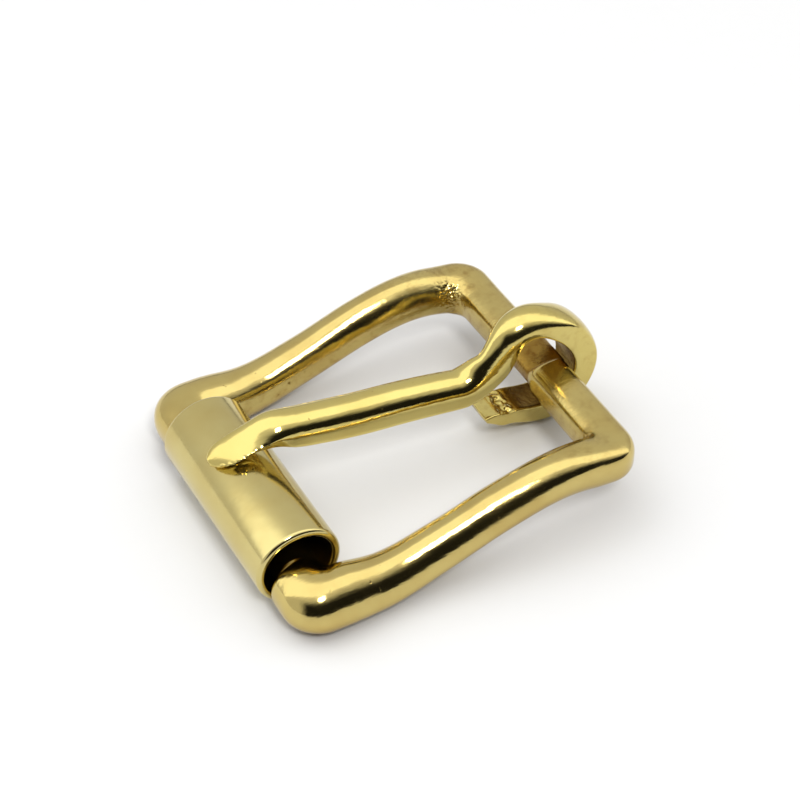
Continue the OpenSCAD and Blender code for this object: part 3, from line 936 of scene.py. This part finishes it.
def brass(material, clean, dull, roughness, pits, depths):
    """Takes two of each where brass varies, and depths in mm of waves, hairlines, pits and grain."""
    material.use_nodes = True
    tree = material.node_tree
    tree.nodes.clear()
    scale, amount = pits
    holes = shader_node(tree, "ShaderNodeGroup", node_tree=PITS)
    holes.inputs["Scale"].default_value, holes.inputs["Amount"].default_value = scale, amount
    pit = holes.outputs
    wave, patch, grain = (shader_node(tree, "ShaderNodeGroup", node_tree=group).outputs
                          for group in (WAVES, TARNISH_AND_LOW_SHADE, GRAIN_AND_LOOP_SHADE))
    colour = shader_node(tree, "ShaderNodeMix", {"Factor": patch["Mask"], "A": (*clean, 1), "B": (*dull, 1)},
                         data_type="RGBA").outputs["Result"]
    # The low and bare tints are painted shade; the stain and pit tints are the metal's own.
    for by, mask in ((LOW_SHADE_TINT, patch["Low Shade"]), (STAIN_TINT, grain["Spots"]), (BARE_AND_SHADE_TINT, grain["Bare And Shade"]),
                     (PIT_TINT, pit["Mask"])):
        colour = tint(tree, colour, by, mask)
    polished = spread(tree, patch["Mask"], 0.0, 1.0, *roughness)
    rough = sums(tree, "MULTIPLY_ADD", grain["Mask"], GRAIN_DULLS, polished)
    normal = {}
    for height, depth in zip((wave["Wave"], wave["Lines"], pit["Height"], grain["Height"]), depths):
        bump = shader_node(tree, "ShaderNodeBump", {"Height": height, "Distance": depth*MM,
                                                    "Strength": 1.0, **normal})
        normal = {"Normal": bump.outputs["Normal"]}
    metal = shader_node(tree, "ShaderNodeBsdfPrincipled", {"Metallic": 1.0, "Base Color": colour,
                                                           "Roughness": rough, **normal})
    shader_node(tree, "ShaderNodeOutputMaterial", {"Surface": metal.outputs["BSDF"]})
    print(material.name, "has", len(tree.nodes), "nodes")


# %% [markdown]
# The colours were set against the picture, with clean metal first and tarnished metal second.

# %% Three brasses
frame_brass = bpy.data.materials.new("frame_brass_cast")
tongue_brass = bpy.data.materials.new("tongue_brass_polished")
brass(frame_brass, (0.60, 0.475, 0.170), (0.53, 0.395, 0.130), (0.11, 0.18), (1500.0, 0.85),
      (0.032, 0.008, 0.012, 0.03))
brass(roller_brass, (0.62, 0.52, 0.215), (0.57, 0.455, 0.170), (0.13, 0.20), (1500.0, 0.3),
      (0.010, 0.002, 0.008, 0.0))
brass(tongue_brass, (0.65, 0.535, 0.180), (0.61, 0.485, 0.150), (0.09, 0.14), (1500.0, 0.5),
      (0.030, 0.006, 0.008, 0.03))
frame_skin.data.materials.append(frame_brass)
tongue_skin.data.materials.append(tongue_brass)

# %% [markdown]
# ## Hand the skins to the bodies
# A skin replaces its solid in the picture, while the solid stays for collision. Each skin rides on its
# own body, so the tongue swings and the roller turns.

# %% Riding
for piece, body in ((frame_skin, "frame"), (roller_skin, "roller"), (tongue_skin, "tongue")):
    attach(piece, body)
    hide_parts(body)
    print(piece.name, "rides on", body)

# %% [markdown]
# ## Table and light
# A buckle is photographed on plain white card in a light tent. The card is a big sheet just under the
# buckle, with fine paper fibres, so that it looks like paper and not like nothing.

# %% Card
CARD_HALF, CARD_DROP = 1.5, 0.02*MM
corners = [(x*CARD_HALF, y*CARD_HALF, 0) for x, y in ((-1, -1), (1, -1), (1, 1), (-1, 1))]
card_mesh = bpy.data.meshes.new("card")
card_mesh.from_pydata(corners, [], [(0, 1, 2, 3)])
card = bpy.data.objects.new("card", card_mesh)
bpy.context.scene.collection.objects.link(card)
card.location.z = -CARD_DROP
paper = bpy.data.materials.new("white_card")
paper.use_nodes = True
sheet = paper.node_tree
fibre = noise(sheet, shader_node(sheet, "ShaderNodeTexCoord").outputs["Object"], 900.0, 3.0)
tone = spread(sheet, fibre, 0.0, 1.0, 0.645, 0.655)
tooth = shader_node(sheet, "ShaderNodeBump", {"Height": fibre, "Distance": 0.01*MM})
shine = sheet.nodes["Principled BSDF"]
shine.inputs["Roughness"].default_value = 0.5
sheet.links.new(tint(sheet, tone, (1.0, 0.993, 0.978), 1.0), shine.inputs["Base Color"])
sheet.links.new(tooth.outputs["Normal"], shine.inputs["Normal"])
card_mesh.materials.append(paper)
print("card", card.name, "at", round(card.location.z/MM, 2), "mm")

# %% [markdown]
# Polished metal shows what is around it, so the surroundings matter as much as the lamps. A broad soft
# light hangs overhead and a pale wall stands behind. The camera's side is a dark room that reaches round
# to the right and draws the black lines along the bars. A dim wall on the left lights the roller.

# %% Which way a ray leaves
world = bpy.data.worlds.new("tent")
bpy.context.scene.world = world
world.use_nodes = True
sky = world.node_tree
sky.nodes.clear()
ROUND_THE_RIGHT = 0.3
toward = shader_node(sky, "ShaderNodeTexCoord").outputs["Generated"]


def leaning(direction):
    """How far a ray leans along a direction, from -1 to 1."""
    product = shader_node(sky, "ShaderNodeVectorMath", {0: toward, 1: direction}, operation="DOT_PRODUCT")
    return product.outputs["Value"]


facing = leaning((math.sin(TURN), -math.cos(TURN), 0.0))
leftward = leaning(-level)
round_right = spread(sky, leftward, 0.0, -1.0, 0.0, ROUND_THE_RIGHT)
height = shader_node(sky, "ShaderNodeSeparateXYZ", {0: toward}).outputs["Z"]
over = sums(sky, "ARCTAN2", height, sums(sky, "ADD", facing, round_right))
print("the world sorts rays with", len(sky.nodes), "nodes")

# %% [markdown]
# A colour ramp then gives each turn its brightness, as a strip of painted card bent over the buckle
# would. It keeps colours up to 1, so the brightness is divided by the light's strength.

# %% Brightness of the tent
STRENGTH, LEFT_WALL = 3.0, 0.25
BANDS = [  # degrees up from the horizon on the camera's side, over the top to the far horizon: brightness
    (0, 0.015), (33, 0.015), (41, 0.13), (48, 0.55), (58, 0.80), (64, 0.95), (69, 1.75),
    (110, 1.75), (118, 0.95), (128, 0.80), (150, 0.74), (173, 0.70), (176, 0.38), (180, 0.38)]
ramp = shader_node(sky, "ShaderNodeValToRGB", {"Fac": spread(sky, over, 0.0, math.pi)})
elements = ramp.color_ramp.elements
while len(elements) < len(BANDS):
    elements.new(0.5)
for element, (degrees, bright) in zip(elements, BANDS):
    element.position = degrees/180
    element.color = (*[bright/STRENGTH]*3, 1)
wall = spread(sky, leftward, 0.35, 0.70, interpolation_type="SMOOTHSTEP")
tent = shader_node(sky, "ShaderNodeMix", {"Factor": wall, "A": ramp.outputs["Color"],
                                          "B": (*[LEFT_WALL]*3, 1)}, data_type="RGBA", blend_type="LIGHTEN")
glow = shader_node(sky, "ShaderNodeBackground", {"Color": tent.outputs["Result"], "Strength": STRENGTH})
shader_node(sky, "ShaderNodeOutputWorld", {"Surface": glow.outputs["Background"]})
print("tent:", len(BANDS), "bands of brightness")

# %% [markdown]
# Two lamps finish the light. A small one gives the white sparks on the bends. A large one behind the
# buckle throws the soft shadow towards the camera, and is kept out of the metal's reflections.

# %% Lamps
def lamp(name, turn_deg, rise_deg, away, size, watts):
    """A square lamp at an angle round the buckle, turned to face it."""
    light = bpy.data.lights.new(name, "AREA")
    light.size, light.energy = size, watts
    holder = bpy.data.objects.new(name, light)
    t, r = math.radians(turn_deg), math.radians(rise_deg)
    spot = Vector((math.sin(t)*math.cos(r), -math.cos(t)*math.cos(r), math.sin(r)))*away
    holder.location = spot
    holder.rotation_euler = spot.to_track_quat("Z", "Y").to_euler()
    bpy.context.scene.collection.objects.link(holder)
    return holder


lamp("small_lamp", turn_deg=-8, rise_deg=55, away=0.6, size=0.13, watts=1.5)
far_soft = lamp("far_soft_lamp", turn_deg=204, rise_deg=52, away=0.6, size=0.45, watts=1.1)
far_soft.visible_glossy = False
far_soft.data.color = (0.93, 0.98, 1.08)
